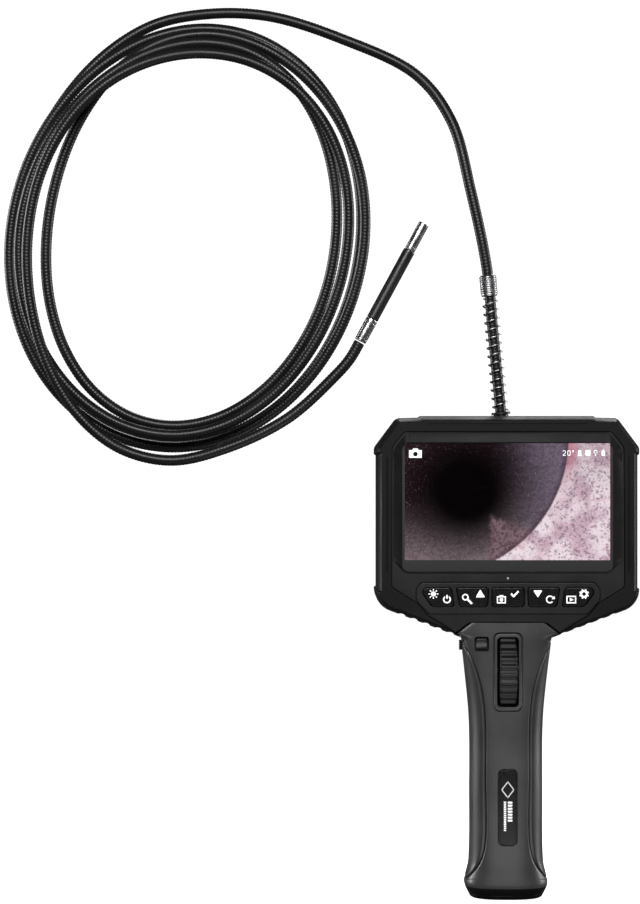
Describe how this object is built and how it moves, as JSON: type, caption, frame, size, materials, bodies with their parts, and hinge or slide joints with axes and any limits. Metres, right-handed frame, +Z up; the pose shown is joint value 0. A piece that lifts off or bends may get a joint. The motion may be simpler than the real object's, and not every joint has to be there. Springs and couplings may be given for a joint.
{
  "type": "inspection camera",
  "caption": "Handheld inspection camera with a display head, thumb-wheel handle, coiled insertion tube and steerable camera tip.",
  "frame": {"origin": "centre of the handle's flat bottom end", "axes": "+Z up the handle to the display head, -Y out of the display towards the operator, +X to the operator's right"},
  "size_m": [0.3425, 0.0487, 0.4819],
  "materials": {
    "shell": "satin moulded plastic",
    "face": "satin moulded plastic",
    "guard": "matte overmoulded rubber",
    "grip": "soft-touch rubber",
    "bumper_trim": "satin moulded plastic",
    "keys": "polished black with pale symbols",
    "glass": "polished cover glass",
    "display": "lit picture panel",
    "board": "green solder mask",
    "silicone": "matte silicone",
    "steel": "turned and polished",
    "spring": "drawn wire",
    "brass": "machined",
    "tube": "spiral-ribbed black jacket",
    "sleeve": "smooth black rubber",
    "wheel": "ribbed black rubber",
    "light": "clear diffuser",
    "cell": "printed shrink sleeve"
  },
  "bodies": {
    "handset": {"guard_frame": "guard", "front_housing": "face", "rear_housing": "shell", "display_glass": "glass", "display_panel": "display", "display_frame": "steel", "main_board": "board", "usb_socket": "steel", "card_slot": "steel", "status_led": "light", "keypad_frame": "bumper_trim", "keypad_mat": "silicone", "keypad_board": "board", "handle_front_cover": "shell", "grip_left": "grip", "grip_right": "grip", "base_cap": "shell", "label_plate": "keys", "wheel_bezel": "shell", "axle_bush_left": "brass", "axle_bush_right": "brass", "wheel_bracket": "steel", "steering_sheath_left": "spring", "steering_sheath_right": "spring", "battery_cell": "cell", "battery_contact": "brass", "battery_spring": "spring", "head_screw_1": "steel", "head_screw_2": "steel", "head_screw_3": "steel", "head_screw_4": "steel", "handle_screw_1": "steel", "handle_screw_2": "steel", "cable_gland": "bumper_trim", "gland_nut": "brass", "relief_spring": "spring", "spring_collar": "spring", "insertion_tube": "tube", "tip_ferrule": "steel", "bending_sleeve": "sleeve"},
    "steering_wheel": {"thumb_wheel": "wheel", "cable_drum": "brass", "wheel_axle": "steel"},
    "link_1": {"bend_link_1": "steel"},
    "link_2": {"bend_link_2": "steel"},
    "link_3": {"bend_link_3": "steel"},
    "link_4": {"bend_link_4": "steel"},
    "camera_head": {"head_adapter": "steel", "head_shell": "steel", "camera_module": "bumper_trim", "led_ring": "light", "camera_lens": "glass"},
    "light_key": {"key_light": "keys"},
    "zoom_key": {"key_zoom": "keys"},
    "capture_key": {"key_capture": "keys"},
    "rotate_key": {"key_rotate": "keys"},
    "playback_key": {"key_playback": "keys"},
    "handle_push": {"handle_button": "bumper_trim"},
    "wheel_lock": {"lock_slider": "bumper_trim"},
    "port_door": {"port_cover": "guard"}
  },
  "joints": [
    {"name": "wheel_turn", "type": "hinge", "parent": "handset", "child": "steering_wheel", "pos_m": [0, -0.0072, 0.1222], "axis": [1, 0, 0], "range_deg": [-75, 75]},
    {"name": "bend_1", "type": "hinge", "parent": "handset", "child": "link_1", "pos_m": [-0.06988, -0.01268, 0.31503], "axis": [0.8788, 0, -0.4772], "range_deg": [-36.01, 36.01], "deforming": ["bending_sleeve"]},
    {"name": "bend_2", "type": "hinge", "parent": "link_1", "child": "link_2", "pos_m": [-0.06606, -0.01268, 0.32206], "axis": [0.8788, 0, -0.4772], "range_deg": [-36.01, 36.01], "deforming": ["bending_sleeve"]},
    {"name": "bend_3", "type": "hinge", "parent": "link_2", "child": "link_3", "pos_m": [-0.06224, -0.01268, 0.3291], "axis": [0.8788, 0, -0.4772], "range_deg": [-36.01, 36.01], "deforming": ["bending_sleeve"]},
    {"name": "bend_4", "type": "hinge", "parent": "link_3", "child": "link_4", "pos_m": [-0.05842, -0.01268, 0.33613], "axis": [0.8788, 0, -0.4772], "range_deg": [-36.01, 36.01], "deforming": ["bending_sleeve"]},
    {"name": "bend_5", "type": "hinge", "parent": "link_4", "child": "camera_head", "pos_m": [-0.05461, -0.01268, 0.34316], "axis": [0.8788, 0, -0.4772], "range_deg": [-36.01, 36.01], "deforming": ["bending_sleeve"]},
    {"name": "light_press", "type": "slide", "parent": "handset", "child": "light_key", "axis": [0, 1, 0], "range_m": [0, 0.0008], "stiffness_N_per_m": 400},
    {"name": "zoom_press", "type": "slide", "parent": "handset", "child": "zoom_key", "axis": [0, 1, 0], "range_m": [0, 0.0008], "stiffness_N_per_m": 400},
    {"name": "capture_press", "type": "slide", "parent": "handset", "child": "capture_key", "axis": [0, 1, 0], "range_m": [0, 0.0008], "stiffness_N_per_m": 400},
    {"name": "rotate_press", "type": "slide", "parent": "handset", "child": "rotate_key", "axis": [0, 1, 0], "range_m": [0, 0.0008], "stiffness_N_per_m": 400},
    {"name": "playback_press", "type": "slide", "parent": "handset", "child": "playback_key", "axis": [0, 1, 0], "range_m": [0, 0.0008], "stiffness_N_per_m": 400},
    {"name": "handle_press", "type": "slide", "parent": "handset", "child": "handle_push", "axis": [0, 1, 0], "range_m": [0, 0.0012], "stiffness_N_per_m": 400},
    {"name": "lock_slide", "type": "slide", "parent": "handset", "child": "wheel_lock", "axis": [0, 0, -1], "range_m": [0, 0.0028]},
    {"name": "port_open", "type": "hinge", "parent": "handset", "child": "port_door", "pos_m": [0.07, -0.0006, 0.206], "axis": [0, 0, 1], "range_deg": [0, 110]}
  ],
  "couplings": [
    {"joint": "bend_1", "follows": "wheel_turn", "ratio": 0.48},
    {"joint": "bend_2", "follows": "wheel_turn", "ratio": 0.48},
    {"joint": "bend_3", "follows": "wheel_turn", "ratio": 0.48},
    {"joint": "bend_4", "follows": "wheel_turn", "ratio": 0.48},
    {"joint": "bend_5", "follows": "wheel_turn", "ratio": 0.48}
  ]
}
